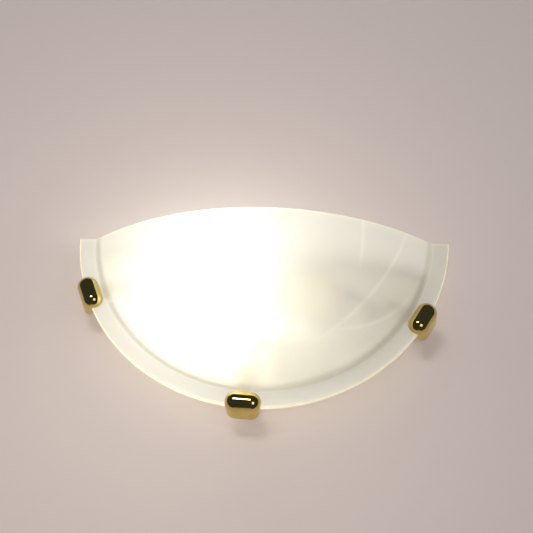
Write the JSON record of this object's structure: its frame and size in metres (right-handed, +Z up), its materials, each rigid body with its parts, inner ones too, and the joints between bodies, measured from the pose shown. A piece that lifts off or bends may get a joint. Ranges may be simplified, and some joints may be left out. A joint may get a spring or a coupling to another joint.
{
  "type": "half-round glass wall light",
  "caption": "Half-round wall uplighter: a satin glass bowl half, open on top, held at its rim by brass clips on a pressed steel pan with a screw-cap lamp inside.",
  "frame": {"origin": "on the wall, on the back face of the pan, midway between the two wall-fixing holes", "axes": "+X to the right along the wall, +Z up, +Y into the wall; the room and the glass are on the -Y side"},
  "size_m": [0.3, 0.0838, 0.154],
  "materials": {
    "satin_glass": "satin, acid-etched, ivory, polished cut edge",
    "white_powder_coat": "smooth white powder coat",
    "zinc_steel": "bright zinc plate",
    "raw_brass": "bare turned brass",
    "cream_phenolic": "moulded, glossy",
    "steatite": "unglazed",
    "pearl_glass": "inside-frosted",
    "lamp_cap_aluminium": "bright drawn",
    "black_lamp_glass": "fused, glossy",
    "solder": "dull tinned dome",
    "clear_glass": "clear, fire-polished",
    "tungsten": "drawn wire",
    "natural_nylon": "moulded, translucent",
    "tinned_brass": "tinned",
    "black_rubber": "moulded, matt",
    "brown_sleeve": "woven glass sleeve, satin",
    "blue_sleeve": "woven glass sleeve, satin",
    "green_yellow_sleeve": "extruded, satin",
    "clear_soft_vinyl": "clear soft extrusion",
    "brass_plate": "brass-plated steel strip, bright",
    "polished_brass": "mirror-polished and lacquered"
  },
  "bodies": {
    "back": {"back_plate": "white_powder_coat", "plate_studs": "zinc_steel", "stud_washers": "zinc_steel", "stud_nuts": "zinc_steel", "lamp_bracket": "zinc_steel", "threaded_tube": "raw_brass", "lock_nuts": "raw_brass", "lampholder_back": "cream_phenolic", "lampholder_skirt": "cream_phenolic", "lampholder_insert": "steatite", "lampholder_screw_shell": "raw_brass", "lampholder_contact": "raw_brass", "terminal_block": "natural_nylon", "terminal_tubes": "raw_brass", "terminal_screws": "zinc_steel", "block_screw": "zinc_steel", "earth_tag": "tinned_brass", "cable_grommet": "black_rubber", "wire_live": "brown_sleeve", "wire_neutral": "blue_sleeve", "wire_earth": "green_yellow_sleeve"},
    "glass": {"glass_shade": "satin_glass"},
    "lamp": {"lamp_envelope": "pearl_glass", "lamp_cap": "lamp_cap_aluminium", "lamp_cap_insulator": "black_lamp_glass", "lamp_contact": "solder", "lamp_stem": "clear_glass", "lamp_filament": "tungsten"},
    "left_clip": {"clip_arm_left": "brass_plate", "clip_pad_left": "clear_soft_vinyl", "clip_cap_left": "polished_brass"},
    "right_clip": {"clip_arm_right": "brass_plate", "clip_pad_right": "clear_soft_vinyl", "clip_cap_right": "polished_brass"},
    "bottom_clip": {"clip_arm_bottom": "brass_plate", "clip_pad_bottom": "clear_soft_vinyl", "clip_cap_bottom": "polished_brass"}
  },
  "joints": [
    {"name": "glass_turn", "type": "hinge", "parent": "back", "child": "glass", "pos_m": [0.00153, 0, 0.02195], "axis": [0, -1, 0], "range_deg": [-14, 14]},
    {"name": "lamp_unscrew", "type": "hinge", "parent": "back", "child": "lamp", "pos_m": [-0.00195, -0.035, -0.02793], "axis": [-0.9976, 0, 0.0698], "continuous": true},
    {"name": "left_clip_slide", "type": "slide", "parent": "back", "child": "left_clip", "axis": [-0.9336, 0, -0.3584], "range_m": [0, 0.011]},
    {"name": "right_clip_slide", "type": "slide", "parent": "back", "child": "right_clip", "axis": [0.8746, 0, -0.4848], "range_m": [0, 0.011]},
    {"name": "bottom_clip_slide", "type": "slide", "parent": "back", "child": "bottom_clip", "axis": [-0.0698, 0, -0.9976], "range_m": [0, 0.011]}
  ]
}
